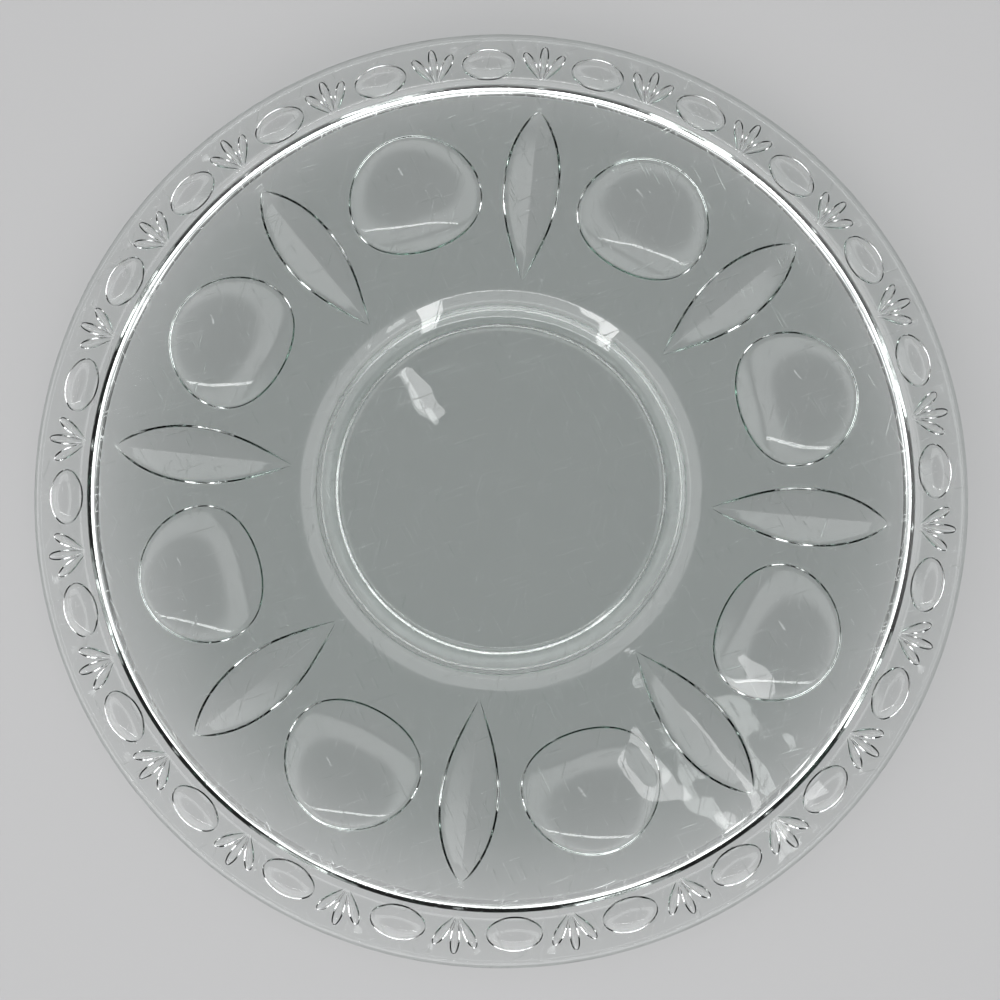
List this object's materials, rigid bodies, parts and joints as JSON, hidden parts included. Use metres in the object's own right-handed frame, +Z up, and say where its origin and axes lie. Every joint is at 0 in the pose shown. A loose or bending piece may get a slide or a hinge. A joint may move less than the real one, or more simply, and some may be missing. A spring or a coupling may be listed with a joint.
{
  "type": "serving platter",
  "caption": "Round clear pressed-glass serving platter: flat centre well on a foot ring, dished flange of leaves and thumbprints, stepped rim of fans and small ovals.",
  "frame": {"origin": "centre of the foot ring, in the plane of the table that the platter stands on", "axes": "+Z up along the axis of the round platter, +X through the middle of one leaf of the pattern"},
  "size_m": [0.33, 0.33, 0.0353],
  "materials": {
    "clear_glass": "polished pressed glass, clear, with a faint green-grey tint where it is thick"
  },
  "bodies": {
    "root": {"platter": "clear_glass"}
  },
  "joints": []
}
